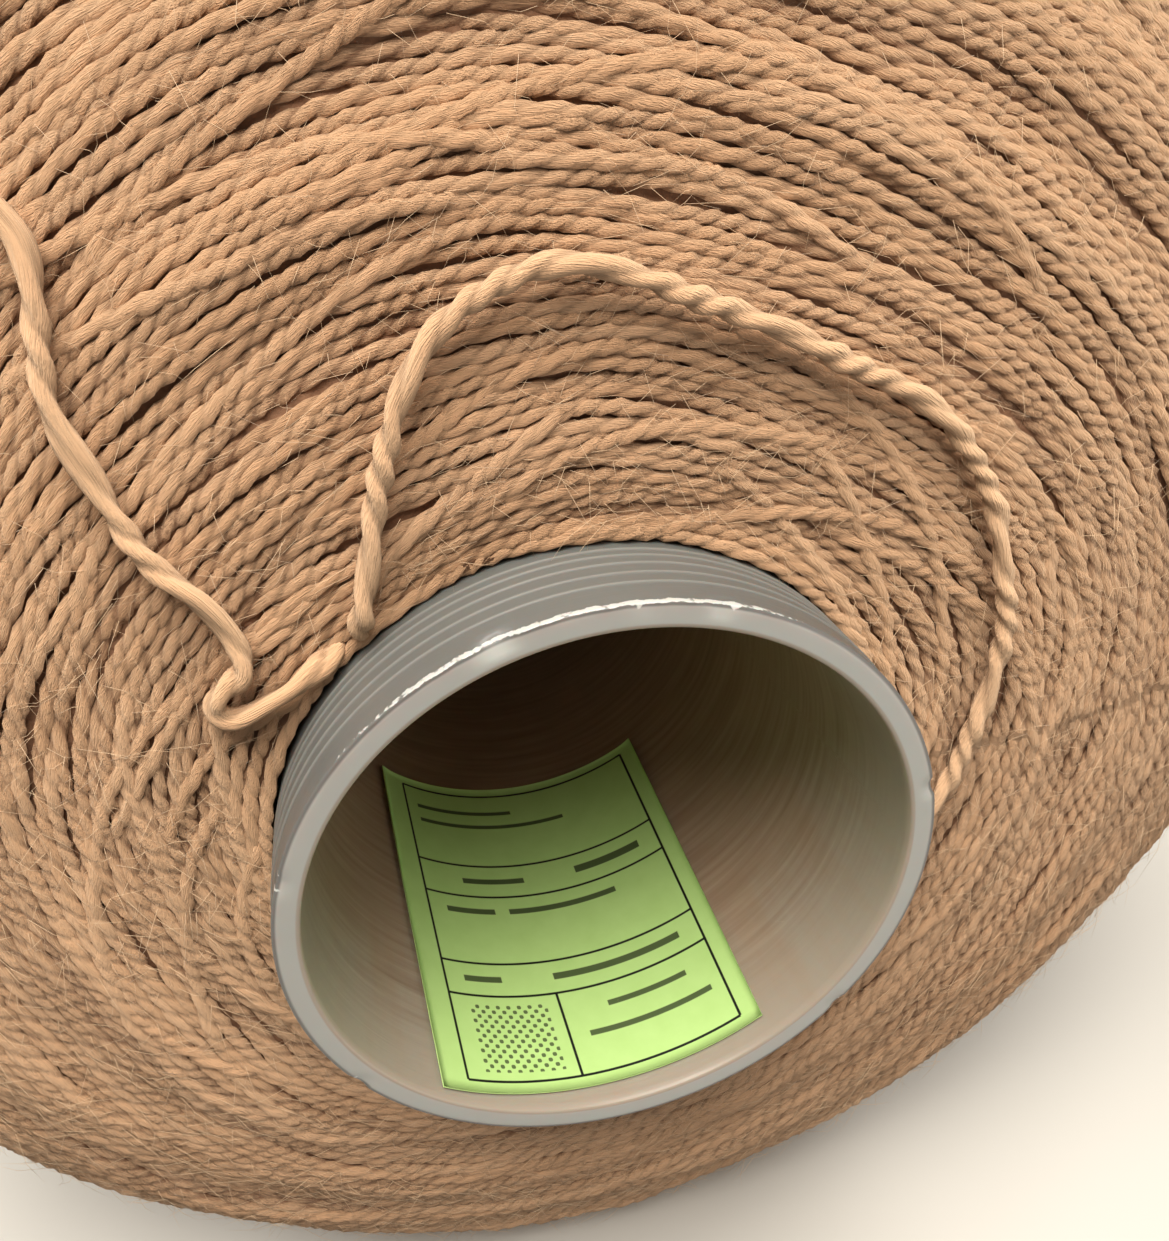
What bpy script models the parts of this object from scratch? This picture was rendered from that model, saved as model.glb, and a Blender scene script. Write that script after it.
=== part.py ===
"""A cone of camel wool yarn lying on its side, with the open large end of its plastic tube to the front.

Metres, +Z up. The tube's mouth faces -Y and leans up by the tube's taper, because the package lies on
its conical flank. The origin is under the middle of the part, on the surface that it lies on.
Every piece is modelled about the tube's own axis: local +Z comes out of the mouth, local X is to the
right, and a depth is counted from the mouth plane into the tube.
"""

import math

import bmesh
import bpy
import numpy as np

# Plastic tube, a cone of 4 degrees 20 minutes
TAPER = math.radians(4 + 20 / 60)
TUBE_LENGTH = 0.170
MOUTH_RADIUS = 0.031
WALL = 0.0025
RIM_BEVEL = 0.0003
NOSE_BEVEL = 0.0006
RIB_DEPTHS = (0.0039, 0.0058, 0.0077, 0.0093, 0.0106)
RIB_HEIGHT = 0.00025
RIB_HALF_WIDTH = 0.0004
TUBE_STEPS = 64

# Wound yarn: a ring of even thickness on the tube, with a domed face at each end
YARN_THICKNESS = 0.0650
THICKNESS_SWAY = 0.0025
FACE_START = 0.0118
DOME_DEPTH = 0.0305
DOME_SWAY = -0.0030
DOME_POWER = 2.2
NOSE_END = 0.158
NOSE_DOME_DEPTH = 0.016
FLAT_SPOT = 0.0028
WAVE = 0.0008
WAVE_LENGTH = 0.0135
AROUND = 80
DOME_STEPS = 22
FLANK_STEPS = 4
NOSE_STEPS = 8

# Clearance between neighbouring pieces
GAP = 0.0003

# Paper label on the inner wall, at the bottom of the bore
LABEL_WIDTH = 0.0367
LABEL_LENGTH = 0.0456
LABEL_INSET = 0.0022
LABEL_THICKNESS = 0.0004
LABEL_AZIMUTH = math.radians(-94.2)
LABEL_TURN = math.radians(2.2)

# Loose yarn: two plies laid together
STRAND_WIDTH = 0.0022
TWIST_PITCH = 0.0058
STEPS_PER_TURN = 6
STRAND_SIDES = 8

# Routes over the wound yarn: reach from the tube along the surface (mm), azimuth from +X (degrees)
# and height of the strand's middle over the surface (mm)
LOOP_ROUTE = (
    (1.9, 127.5, 1.7),
    (6.6, 119.6, 1.7),
    (14.0, 111.2, 1.9),
    (17.3, 107.7, 2.0),
    (21.2, 102.2, 2.1),
    (23.3, 96.3, 2.1),
    (24.0, 91.3, 2.1),
    (23.1, 86.3, 2.1),
    (21.4, 78.9, 2.0),
    (20.4, 70.5, 1.9),
    (19.6, 62.3, 1.8),
    (19.9, 55.0, 1.8),
    (19.8, 48.2, 1.8),
    (18.0, 37.6, 1.9),
    (15.8, 29.9, 2.0),
    (14.3, 21.2, 2.0),
    (11.6, 11.0, 1.9),
    (9.5, 2.9, 1.8),
    (7.6, -6.0, 1.7),
    (4.6, -13.5, 1.7),
    (1.9, -20.0, 1.7),
)
TAIL_ROUTE = (
    (1.9, 134.5, 1.7),
    (3.4, 142.2, 1.7),
    (6.0, 148.7, 1.8),
    (8.2, 147.6, 1.9),
    (7.8, 145.0, 1.9),
    (7.4, 141.2, 1.8),
    (9.6, 138.5, 1.7),
    (13.8, 136.4, 1.7),
    (18.8, 135.7, 1.7),
    (24.9, 133.1, 1.8),
    (30.4, 130.8, 1.9),
    (35.0, 127.4, 1.8),
    (39.6, 124.6, 1.7),
    (43.0, 124.2, 1.7),
    (52.0, 125.2, 1.7),
    (62.0, 126.4, 1.7),
    (74.0, 125.6, 1.7),
    (86.0, 121.0, 1.7),
    (94.0, 112.0, 1.7),
    (98.0, 100.0, 1.7),
    (100.0, 88.0, 1.7),
)

# Colours, sRGB
PLASTIC = (0.72, 0.71, 0.68)
CAMEL = (0.70, 0.52, 0.37)
CAMEL_LIGHT = (0.80, 0.63, 0.46)
LABEL_GREEN = (0.66, 0.85, 0.47)


def clear_scene():
    for thing in list(bpy.data.objects):
        bpy.data.objects.remove(thing, do_unlink=True)


def material(name, colour, roughness):
    linear = [c / 12.92 if c <= 0.04045 else ((c + 0.055) / 1.055) ** 2.4 for c in colour]
    made = bpy.data.materials.new(name)
    made.use_nodes = True
    shader = made.node_tree.nodes["Principled BSDF"]
    shader.inputs["Base Color"].default_value = (*linear, 1.0)
    shader.inputs["Roughness"].default_value = roughness
    shader.inputs["Metallic"].default_value = 0.0
    return made


def add_object(name, mesh, surface, parent):
    mesh.materials.append(surface)
    mesh.shade_smooth()
    mesh.set_sharp_from_angle(angle=math.radians(40))
    made = bpy.data.objects.new(name, mesh)
    made.parent = parent
    bpy.context.scene.collection.objects.link(made)
    return made


def tube_radius(depth):
    """Outer radius of the bare tube at a depth below the mouth plane."""
    return MOUTH_RADIUS - depth * math.tan(TAPER)


def thickness(azimuth):
    """Radial thickness of the wound yarn, a little more on the right."""
    return YARN_THICKNESS + THICKNESS_SWAY * np.cos(azimuth)


def wave(reach, azimuth):
    """Soft unevenness of the crossed layers: two families of shallow ridges that wind opposite ways."""
    turn = 2 * math.pi * reach / WAVE_LENGTH
    return WAVE * (0.6 * np.sin(turn + 3 * azimuth) + 0.4 * np.sin(0.7 * turn - 5 * azimuth + 1.0))


def outline(azimuth):
    """Depths and radii of the wound yarn's outside at one azimuth, from the mouth end to the nose end.

    Each domed face is a quarter of a superellipse, from the tube out to the flank, and the flank runs
    parallel to the tube. The faces are uneven, and the flank is plain.
    """
    thick = thickness(azimuth) - GAP
    turn = np.linspace(0, math.pi / 2, DOME_STEPS + 1)
    dome = DOME_DEPTH + DOME_SWAY * math.cos(azimuth)
    depth = [FACE_START + dome * (1 - np.cos(turn))]
    height = [thick * np.sin(turn) ** (2 / DOME_POWER)]
    fade = [np.sin(2 * turn), np.zeros(FLANK_STEPS)]
    flank_end = NOSE_END - NOSE_DOME_DEPTH
    depth.append(np.linspace(depth[0][-1], flank_end, FLANK_STEPS + 1)[1:])
    height.append(np.full(FLANK_STEPS, thick))
    turn = np.linspace(math.pi / 2, 0, NOSE_STEPS + 1)[1:]
    depth.append(NOSE_END - NOSE_DOME_DEPTH * (1 - np.cos(turn)))
    height.append(thick * np.sin(turn) ** (2 / DOME_POWER))
    fade.append(np.sin(2 * turn))
    depth, height = np.concatenate(depth), np.concatenate(height)
    radius = tube_radius(depth) + GAP + height
    along_depth, along_radius = np.gradient(depth), np.gradient(radius)
    size = np.hypot(along_depth, along_radius)
    normal_depth, normal_radius = -along_radius / size, along_depth / size
    reach = np.concatenate([[0], np.cumsum(np.hypot(np.diff(depth), np.diff(radius)))])
    raised = wave(reach, azimuth) * np.concatenate(fade)
    return reach, depth + normal_depth * raised, radius + normal_radius * raised


def about_axis(depth, radius, azimuth):
    """Local points for depths, radii and azimuths."""
    return np.stack([radius * np.cos(azimuth), radius * np.sin(azimuth), -depth + 0 * azimuth], axis=-1)


def rest_height():
    """Height of the mouth's centre: the flank's lowest line is FLAT_SPOT below the surface."""
    lowest = MOUTH_RADIUS + thickness(-math.pi / 2)
    return float(lowest * math.cos(TAPER) - FLAT_SPOT)


def flattened(points):
    """Points under the surface that the package lies on are lifted to it, which makes the flat spot."""
    up = np.array([0, math.cos(TAPER), math.sin(TAPER)])
    level = points @ up + rest_height()
    return points + np.maximum(-level, 0)[..., None] * up


def on_surface(reach, azimuth, height):
    """The local point over the wound yarn, for one reach, azimuth and height."""
    reaches, depths, radii = outline(azimuth)
    step = 0.0005
    here, past = (
        np.array([np.interp(r, reaches, depths), np.interp(r, reaches, radii)])
        for r in (max(reach - step, 0), reach + step)
    )
    along = (past - here) / np.linalg.norm(past - here)
    depth, radius = (here + past) / 2 + height * np.array([-along[1], along[0]])
    return about_axis(depth, radius, np.float64(azimuth))


def smooth_route(route, per_span=8):
    """A smooth curve through the route's own points (Catmull-Rom, in reach, azimuth and height)."""
    knots = np.array(route) * (0.001, math.pi / 180, 0.001)
    knots = np.vstack([2 * knots[0] - knots[1], knots, 2 * knots[-1] - knots[-2]])
    t = np.linspace(0, 1, per_span, endpoint=False)[:, None]
    spans = []
    for a, b, c, d in zip(knots[:-3], knots[1:-2], knots[2:-1], knots[3:]):
        spans.append(0.5 * (2 * b + (c - a) * t + (2 * a - 5 * b + 4 * c - d) * t**2
                            + (3 * b - a - 3 * c + d) * t**3))
    return np.vstack([*spans, knots[-2:-1]])


def strand_line(route):
    """Points down the middle of a loose strand, evenly spaced for its twist."""
    line = np.array([on_surface(*knot) for knot in smooth_route(route)])
    along = np.concatenate([[0], np.cumsum(np.linalg.norm(np.diff(line, axis=0), axis=1))])
    count = round(along[-1] / TWIST_PITCH * STEPS_PER_TURN)
    even = np.linspace(0, along[-1], count + 1)
    return np.stack([np.interp(even, along, line[:, k]) for k in range(3)], axis=1)


def closed_surface(name, points, capped):
    """A mesh of a grid of points that closes on itself across, and along too unless it is capped."""
    rows, columns = points.shape[:2]
    mesh = bpy.data.meshes.new(name)
    built = bmesh.new()
    grid = [[built.verts.new(p) for p in row] for row in points]
    for i in range(rows - 1 if capped else rows):
        for j in range(columns):
            nearer, further = grid[i], grid[(i + 1) % rows]
            k = (j + 1) % columns
            built.faces.new((nearer[j], nearer[k], further[k], further[j]))
    if capped:
        built.faces.new(grid[0])
        built.faces.new(grid[-1])
    bmesh.ops.recalc_face_normals(built, faces=built.faces)
    built.to_mesh(mesh)
    built.free()
    return mesh


def tube_profile():
    """Depths and radii round the tube's wall: outside with its ribs, nose lip, inside, mouth rim."""
    outside = [(RIM_BEVEL, tube_radius(0))]
    for rib in RIB_DEPTHS:
        for offset, raised in ((-RIB_HALF_WIDTH, 0), (0, RIB_HEIGHT), (RIB_HALF_WIDTH, 0)):
            outside.append((rib + offset, tube_radius(rib + offset) + raised))
    nose = tube_radius(TUBE_LENGTH)
    outside.append((TUBE_LENGTH - NOSE_BEVEL, tube_radius(TUBE_LENGTH - NOSE_BEVEL)))
    lips = [
        (TUBE_LENGTH, nose - NOSE_BEVEL),
        (TUBE_LENGTH, nose - WALL + NOSE_BEVEL),
        (TUBE_LENGTH - NOSE_BEVEL, nose - WALL),
        (RIM_BEVEL, MOUTH_RADIUS - WALL),
        (0, MOUTH_RADIUS - WALL + RIM_BEVEL),
        (0, MOUTH_RADIUS - RIM_BEVEL),
    ]
    return np.array(outside + lips)


def make_tube(parent):
    profile = tube_profile()
    azimuths = np.linspace(0, 2 * math.pi, TUBE_STEPS, endpoint=False)
    points = about_axis(profile[:, :1], profile[:, 1:], azimuths[None, :])
    mesh = closed_surface("cone_tube", points, capped=False)
    return add_object("cone_tube", mesh, material("tube_plastic", PLASTIC, 0.35), parent)


def make_yarn(parent):
    rings = []
    for azimuth in np.linspace(0, 2 * math.pi, AROUND, endpoint=False):
        _, depth, radius = outline(azimuth)
        middle = np.array([0.75, 0.5, 0.25]) * (depth[-1] - depth[0]) + depth[0]
        inner = tube_radius(middle) + GAP
        depth, radius = np.concatenate([depth, middle]), np.concatenate([radius, inner])
        rings.append(about_axis(depth, radius, azimuth))
    mesh = closed_surface("yarn_body", flattened(np.array(rings)), capped=False)
    return add_object("yarn_body", mesh, material("camel_wool", CAMEL, 0.9), parent)


def make_label(parent):
    """A thin curved sheet: a rectangle rolled onto the inner wall, so its near edge follows the rim."""
    across = np.linspace(-0.5, 0.5, 13) * LABEL_WIDTH
    along = np.linspace(0, 1, 7) * LABEL_LENGTH
    x, y = np.meshgrid(across, along, indexing="ij")
    middle = LABEL_LENGTH / 2
    turned_x = x * math.cos(LABEL_TURN) - (y - middle) * math.sin(LABEL_TURN)
    turned_y = middle + x * math.sin(LABEL_TURN) + (y - middle) * math.cos(LABEL_TURN)
    slant_mouth = (MOUTH_RADIUS - WALL) / math.sin(TAPER)
    down = slant_mouth - LABEL_INSET - turned_y
    slant = np.hypot(turned_x, down)
    azimuth = LABEL_AZIMUTH + np.arctan2(turned_x, down) / math.sin(TAPER)
    depth = (slant_mouth - slant) * math.cos(TAPER)
    wall_radius = slant * math.sin(TAPER) - GAP
    outer = about_axis(depth, wall_radius, azimuth)
    inner = about_axis(depth, wall_radius - LABEL_THICKNESS, azimuth)
    built = bmesh.new()
    faces_of = [[[built.verts.new(p) for p in row] for row in layer] for layer in (outer, inner)]
    rows, columns = outer.shape[:2]
    for layer in faces_of:
        for i in range(rows - 1):
            for j in range(columns - 1):
                built.faces.new((layer[i][j], layer[i + 1][j], layer[i + 1][j + 1], layer[i][j + 1]))
    border = [(i, 0) for i in range(rows)] + [(rows - 1, j) for j in range(1, columns)]
    border += [(i, columns - 1) for i in range(rows - 2, -1, -1)] + [(0, j) for j in range(columns - 2, 0, -1)]
    for (i, j), (k, m) in zip(border, border[1:] + border[:1]):
        far, near = faces_of
        built.faces.new((far[i][j], far[k][m], near[k][m], near[i][j]))
    bmesh.ops.recalc_face_normals(built, faces=built.faces)
    mesh = bpy.data.meshes.new("label")
    built.to_mesh(mesh)
    built.free()
    return add_object("label", mesh, material("label_paper", LABEL_GREEN, 0.6), parent)


def make_strand(name, route, parent):
    """A loose strand: two plies as one section with two lobes, turned once in each twist pitch."""
    line = strand_line(route)
    ahead = np.gradient(line, axis=0)
    ahead /= np.linalg.norm(ahead, axis=1)[:, None]
    outward = np.array([0.0, 0.0, 1.0])
    side = np.cross(ahead, outward)
    side /= np.linalg.norm(side, axis=1)[:, None]
    over = np.cross(side, ahead)
    lobe = STRAND_WIDTH / 4
    around = np.linspace(0, 2 * math.pi, STRAND_SIDES, endpoint=False)
    radius = lobe * (1.4 + 0.6 * np.cos(2 * around))
    turn = 2 * math.pi * np.arange(len(line)) / STEPS_PER_TURN
    angle = around[None, :] + turn[:, None]
    points = line[:, None, :] + (radius[None, :] * np.cos(angle))[..., None] * side[:, None, :]
    points = points + (radius[None, :] * np.sin(angle))[..., None] * over[:, None, :]
    mesh = closed_surface(name, points, capped=True)
    return add_object(name, mesh, material(name + "_wool", CAMEL_LIGHT, 0.9), parent)


def box_middle(parent, tube, yarn):
    """The sideways and lengthways middle of the tube and the yarn."""
    bpy.context.view_layer.update()
    corners = np.array([list(part.matrix_world @ v.co) for part in (tube, yarn) for v in part.data.vertices])
    return (corners.min(axis=0) + corners.max(axis=0)) / 2


clear_scene()
package = bpy.data.objects.new("package", None)
bpy.context.scene.collection.objects.link(package)
package.rotation_euler = (math.pi / 2 - TAPER, 0, 0)
package.location = (0, 0, rest_height())
cone_tube = make_tube(package)
yarn_body = make_yarn(package)
make_label(package)
make_strand("tail_loop", LOOP_ROUTE, package)
make_strand("tail_end", TAIL_ROUTE, package)
middle = box_middle(package, cone_tube, yarn_body)
package.location = (-middle[0], -middle[1], rest_height())
bpy.context.view_layer.update()
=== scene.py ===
"""The looks of a cone of camel wool yarn: a two-ply yarn cross-wound on a tapered plastic tube.

The package lies on its flank with the open large end of its tube to the front. A paper label is
stuck inside the mouth, and two loose ends of yarn lie over the domed front face.
"""

import math

import bpy
import numpy as np
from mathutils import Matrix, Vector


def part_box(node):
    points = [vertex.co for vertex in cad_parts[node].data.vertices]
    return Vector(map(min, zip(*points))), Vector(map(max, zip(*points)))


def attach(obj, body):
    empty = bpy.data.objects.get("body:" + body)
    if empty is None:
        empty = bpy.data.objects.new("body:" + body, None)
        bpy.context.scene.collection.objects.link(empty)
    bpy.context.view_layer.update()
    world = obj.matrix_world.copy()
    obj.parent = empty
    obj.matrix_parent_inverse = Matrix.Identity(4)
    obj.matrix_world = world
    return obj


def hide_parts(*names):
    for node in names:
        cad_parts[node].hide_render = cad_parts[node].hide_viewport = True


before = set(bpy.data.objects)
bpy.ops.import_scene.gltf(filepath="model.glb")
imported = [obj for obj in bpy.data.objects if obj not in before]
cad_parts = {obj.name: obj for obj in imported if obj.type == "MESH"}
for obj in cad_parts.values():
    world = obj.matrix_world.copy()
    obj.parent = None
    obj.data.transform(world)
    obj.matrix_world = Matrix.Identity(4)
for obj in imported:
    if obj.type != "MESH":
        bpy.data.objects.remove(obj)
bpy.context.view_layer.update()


# The place of the package. The tube is a cone of 4 degrees 20 minutes, so a package that lies on its
# flank holds the mouth up by that angle. All pieces are set out about the tube's axis, by depth below
# the mouth, radius and azimuth.
TAPER = math.radians(4 + 20 / 60)
MOUTH_RADIUS = 0.031
MM = 0.001
tube_low, tube_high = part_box("cone_tube")
MOUTH = np.array([
    (tube_low.x + tube_high.x) / 2,
    tube_low.y + (MOUTH_RADIUS - 0.3 * MM) * math.sin(TAPER),
    tube_high.z - MOUTH_RADIUS * math.cos(TAPER),
])
INWARD = np.array([0.0, math.cos(TAPER), -math.sin(TAPER)])


def outwards(azimuth):
    """Unit vectors square to the axis: right times the cosine plus the leaning up times the sine."""
    return np.stack(
        [np.cos(azimuth), np.sin(azimuth) * math.sin(TAPER), np.sin(azimuth) * math.cos(TAPER)], axis=-1
    )


def placed(depth, radius, azimuth):
    """Points in the row frame: the mouth, plus depth along the axis, plus radius outwards."""
    depth, radius, azimuth = np.broadcast_arrays(depth, radius, azimuth)
    return MOUTH + depth[..., None] * INWARD + radius[..., None] * outwards(azimuth)


def tube_radius(depth):
    """Radius of the bare tube: the mouth's, less the depth times the tangent of the taper."""
    return MOUTH_RADIUS - depth * math.tan(TAPER)


# The studio: a pale floor, soft warm light from above on the left, and the camera just in front of the
# mouth, looking down into it from the left.
CAMERA_FROM_MOUTH = np.array([-22.4, -75.0, 87.8]) * MM
CAMERA_DOWN = math.radians(35.92)
CAMERA_HEADING = math.radians(-14.18)
FOCAL_LENGTH = 36.61

camera_data = bpy.data.cameras.new("camera")
camera_data.sensor_width = 36
camera_data.lens = FOCAL_LENGTH
camera_data.clip_start = 0.005
camera = bpy.data.objects.new("camera", camera_data)
camera.location = MOUTH + CAMERA_FROM_MOUTH
camera.rotation_euler = (math.pi / 2 - CAMERA_DOWN, 0, CAMERA_HEADING)
bpy.context.scene.collection.objects.link(camera)
bpy.context.scene.camera = camera
bpy.context.scene.view_settings.view_transform = "Standard"


def add_light(name, from_mouth, size, power, colour):
    """A square area light of that size, aimed at the mouth."""
    data = bpy.data.lights.new(name, "AREA")
    data.size, data.energy, data.color = size, power, colour
    light = bpy.data.objects.new(name, data)
    light.location = MOUTH + np.array(from_mouth)
    aim = -np.array(from_mouth)
    yaw = math.atan2(-aim[0], aim[1])
    light.rotation_euler = (math.acos(-aim[2] / np.linalg.norm(aim)), 0, yaw)
    bpy.context.scene.collection.objects.link(light)
    return light


add_light("key", (-0.10, -0.18, 0.70), 0.52, 9.0, (1.0, 0.95, 0.88))
add_light("fill", (0.22, -0.25, -0.02), 0.12, 0.20, (1.0, 0.96, 0.92))
add_light("back_left", (-0.75, 0.45, 0.45), 0.50, 3.6, (1.0, 0.97, 0.94))
add_light("back_right", (0.75, 0.60, 0.45), 0.50, 4.2, (1.0, 0.97, 0.94))
world = bpy.data.worlds.new("studio")
world.use_nodes = True
world.node_tree.nodes["Background"].inputs["Color"].default_value = (0.90, 0.88, 0.85, 1)
world.node_tree.nodes["Background"].inputs["Strength"].default_value = 0.18
bpy.context.scene.world = world


def quads(rows, columns, wrap_rows, wrap_columns):
    """Corner indices of the cells of a grid, which may close on itself either way."""
    i = np.arange(rows if wrap_rows else rows - 1)[:, None]
    j = np.arange(columns if wrap_columns else columns - 1)[None, :]
    next_i, next_j = (i + 1) % rows, (j + 1) % columns
    cells = [i * columns + j, i * columns + next_j, next_i * columns + next_j, next_i * columns + j]
    return np.stack(np.broadcast_arrays(*cells), axis=-1).reshape(-1, 4)


def mesh_piece(name, points, faces, values=None):
    """A smooth mesh object from points, four-cornered faces and named values, one for each point."""
    points, faces = points.reshape(-1, 3), np.ascontiguousarray(faces, dtype=np.int32)
    mesh = bpy.data.meshes.new(name)
    mesh.vertices.add(len(points))
    mesh.vertices.foreach_set("co", points.astype(np.float32).ravel())
    mesh.loops.add(faces.size)
    mesh.loops.foreach_set("vertex_index", faces.ravel())
    mesh.polygons.add(len(faces))
    mesh.polygons.foreach_set("loop_start", np.arange(0, faces.size, faces.shape[1], dtype=np.int32))
    mesh.update(calc_edges=True)
    mesh.shade_smooth()
    for key, value in (values or {}).items():
        value = np.asarray(value, dtype=np.float32)
        kind, field = ("FLOAT_VECTOR", "vector") if value.shape[-1:] == (3,) else ("FLOAT", "value")
        mesh.attributes.new(key, kind, "POINT").data.foreach_set(field, value.ravel())
    piece = bpy.data.objects.new(name, mesh)
    bpy.context.scene.collection.objects.link(piece)
    return piece


def soften(piece, outward, share):
    """Leans the shading of a fuzzy piece towards the way that its surface faces as a whole.

    Each point's normal becomes its own times 1 less the share, plus the outward direction times it.
    """
    own = np.empty(len(piece.data.vertices) * 3, dtype=np.float32)
    piece.data.vertex_normals.foreach_get("vector", own)
    mixed = own.reshape(-1, 3) * (1 - share) + outward * share
    mixed /= np.linalg.norm(mixed, axis=1, keepdims=True)
    piece.data.normals_split_custom_set_from_vertices(mixed)


class Tint:
    """A value of a material. It wraps a node's socket, and arithmetic on it adds Math nodes."""

    def __init__(self, tree, socket):
        self.tree, self.socket = tree, socket

    def node(self, kind, settings=None, output=0, **inputs):
        """Any other node, by its type, its settings and the values or links of its sockets."""
        made = self.tree.nodes.new(kind)
        for key, value in (settings or {}).items():
            if key == "stops":
                ramp = made.color_ramp
                while len(ramp.elements) < len(value):
                    ramp.elements.new(0.5)
                for element, (place, colour) in zip(ramp.elements, value):
                    element.position, element.color = place, (*colour, 1)
            else:
                setattr(made, key, value)
        for key, value in inputs.items():
            name = key.replace("_", " ")
            socket = made.inputs[int(key[1:])] if key[0] == "i" and key[1:].isdigit() else made.inputs[name]
            if isinstance(value, Tint):
                self.tree.links.new(value.socket, socket)
            else:
                socket.default_value = value
        return Tint(self.tree, made.outputs[output])

    def math(self, operation, other=0.0, clamp=False):
        return self.node("ShaderNodeMath", {"operation": operation, "use_clamp": clamp}, i0=self, i1=other)

    def __add__(self, other):
        return self.math("ADD", other)

    def __sub__(self, other):
        return self.math("SUBTRACT", other)

    def __mul__(self, other):
        return self.math("MULTIPLY", other)

    def __truediv__(self, other):
        return self.math("DIVIDE", other)

    def __rsub__(self, other):
        return self.node("ShaderNodeMath", {"operation": "SUBTRACT"}, i0=other, i1=self)

    __radd__, __rmul__ = __add__, __mul__

    def between(self, low, high):
        """0 below low, 1 above high, and a smooth step between."""
        settings = {"interpolation_type": "SMOOTHSTEP"}
        return self.node("ShaderNodeMapRange", settings, Value=self, From_Min=low, From_Max=high)

    def pick(self, first, second):
        """A colour between two, with this value as the share of the second."""
        settings = {"data_type": "RGBA"}
        return self.node("ShaderNodeMix", settings, 2, i0=self, i6=as_colour(first), i7=as_colour(second))

    def stretched(self, scale):
        """A vector with each axis times its own scale."""
        return self.node("ShaderNodeVectorMath", {"operation": "MULTIPLY"}, i0=self, i1=scale)

    def noise(self, scale, detail=2.0, roughness=0.5):
        """Noise read at this vector."""
        return self.node("ShaderNodeTexNoise", None, 0, Vector=self, Scale=scale, Detail=detail,
                         Roughness=roughness)


def as_colour(colour):
    """A plain colour as four linear numbers from sRGB, and a link as it is."""
    if isinstance(colour, Tint):
        return colour
    linear = [c / 12.92 if c <= 0.04045 else ((c + 0.055) / 1.055) ** 2.4 for c in colour]
    return (*linear, 1.0)


def new_material(name, roughness, **fixed):
    """A material with its Principled shader, and a value that stands for its node tree."""
    made = bpy.data.materials.new(name)
    made.use_nodes = True
    shader = made.node_tree.nodes["Principled BSDF"]
    shader.inputs["Roughness"].default_value = roughness
    for key, value in fixed.items():
        shader.inputs[key.replace("_", " ")].default_value = value
    return made, shader, Tint(made.node_tree, None)


def paint(shader, name, value):
    """Links a value to one of the shader's sockets."""
    value.tree.links.new(value.socket, shader.inputs[name])


def attribute(start, name, output=2):
    """A value kept on the mesh's points: output 1 is a vector, 2 a number."""
    return start.node("ShaderNodeAttribute", {"attribute_name": name}, output)


floor_size = 3.0
floor_grid = np.array([[x, y, 0] for x in (-floor_size, floor_size) for y in (-floor_size, floor_size)])
floor = mesh_piece("floor", floor_grid, [[0, 2, 3, 1]])
paper_white, paper_shader, _ = new_material("floor_paper", 0.85)
paper_shader.inputs["Base Color"].default_value = as_colour((0.87, 0.855, 0.82))
floor.data.materials.append(paper_white)
floor.visible_diffuse = False


# The tube: a cone of translucent grey-white plastic, moulded, with fine ribs outside the large end
# that keep the first turns in place; their crests are painted lighter as a painted highlight. Its end
# is cut, so the rim has nicks and a thin burr on its outer edge; along the top of that edge the burr is
# painted whitish as a painted highlight, and the nicks' edges are whitish too. The yarn behind the wall
# darkens it in streaks, and towards the small end the inner wall is painted darker still, as painted
# shade in the bore.
TUBE_LENGTH = 0.170
WALL = 2.5 * MM
RIM_ROUND = 0.3 * MM
NOSE_ROUND = 0.6 * MM
RIB_DEPTHS = np.array([3.9, 5.8, 7.7, 9.3, 10.6]) * MM
RIB_HEIGHT = 0.16 * MM
RIB_HALF_WIDTH = 0.4 * MM
NICKS = ((109, 3.2, 0.75), (73.5, 2.0, 0.45), (86, 1.2, 0.25), (163, 1.6, 0.30), (12, 1.5, 0.35),
         (214, 1.8, 0.25), (318, 1.6, 0.25))
TUBE_AROUND = 256


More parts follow.
